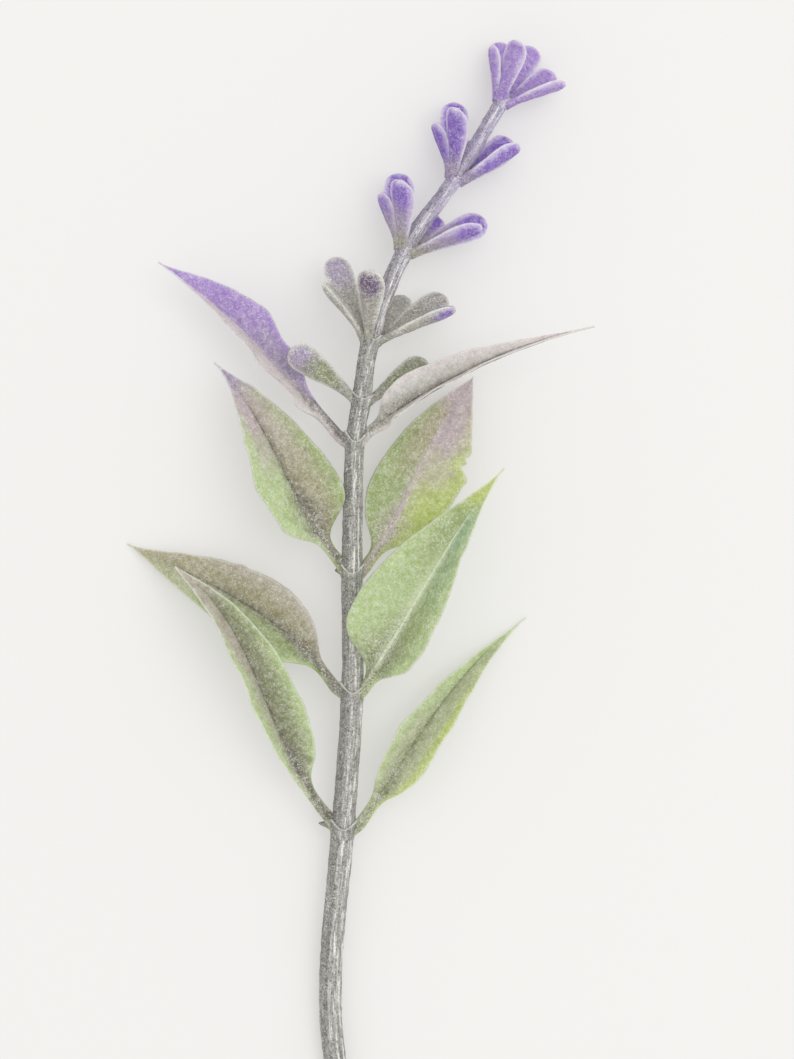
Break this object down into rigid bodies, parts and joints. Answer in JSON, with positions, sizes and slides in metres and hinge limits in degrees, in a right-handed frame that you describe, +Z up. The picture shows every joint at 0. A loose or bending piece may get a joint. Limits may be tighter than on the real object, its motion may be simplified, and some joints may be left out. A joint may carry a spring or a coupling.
{
  "type": "artificial lavender flower spike",
  "caption": "Moulded lavender spike for dried-look decoration: a gently bent stem with opposite pairs of folded leaves below and whorls of paddle-shaped buds above.",
  "frame": {"origin": "on the surface the spike lies on, under the middle of its bounding box", "axes": "+Y runs along the stem from its cut end to the flowering tip, +Z is up from the surface, and +X completes the right-handed frame, towards the side the tip bends to"},
  "size_m": [0.0751, 0.1871, 0.0178],
  "materials": {
    "stem": "soft moulded plastic in grey with a chalky white frosting",
    "collar": "soft moulded plastic in grey with a chalky white frosting",
    "leaf_green": "thin moulded plastic, green to olive, frosted",
    "leaf_olive": "thin moulded plastic, olive turning mauve, frosted",
    "leaf_violet": "thin moulded plastic, mauve over grey, frosted",
    "bud_grey": "moulded plastic, grey-green with mauve tips, frosted",
    "bud_violet": "moulded plastic, violet with paler rims, frosted"
  },
  "bodies": {
    "root": {"stem": "stem", "leaf_collar_1": "collar", "leaf_collar_2": "collar", "leaf_collar_3": "collar", "leaf_collar_4": "collar", "leaf_1_left": "leaf_green", "leaf_1_right": "leaf_green", "leaf_2_left": "leaf_green", "leaf_2_right": "leaf_green", "leaf_3_left": "leaf_olive", "leaf_3_right": "leaf_olive", "leaf_4_left": "leaf_violet", "leaf_4_right": "leaf_violet", "bud_collar_1": "collar", "bud_1_left": "bud_grey", "bud_1_right": "bud_grey", "bud_collar_2": "collar", "bud_2_left": "bud_grey", "bud_2_front": "bud_grey", "bud_2_right": "bud_grey", "bud_2_back_right": "bud_grey", "bud_2_back": "bud_grey", "bud_2_back_left": "bud_grey", "bud_collar_3": "collar", "bud_3_left": "bud_violet", "bud_3_front": "bud_violet", "bud_3_right": "bud_violet", "bud_3_back_right": "bud_violet", "bud_3_back": "bud_violet", "bud_3_back_left": "bud_violet", "bud_collar_4": "collar", "bud_4_left": "bud_violet", "bud_4_front": "bud_violet", "bud_4_right": "bud_violet", "bud_4_back_right": "bud_violet", "bud_4_back": "bud_violet", "bud_4_back_left": "bud_violet", "bud_collar_5": "collar", "bud_5_left": "bud_violet", "bud_5_front": "bud_violet", "bud_5_right": "bud_violet", "bud_5_back_right": "bud_violet", "bud_5_back": "bud_violet", "bud_5_back_left": "bud_violet"}
  },
  "joints": []
}
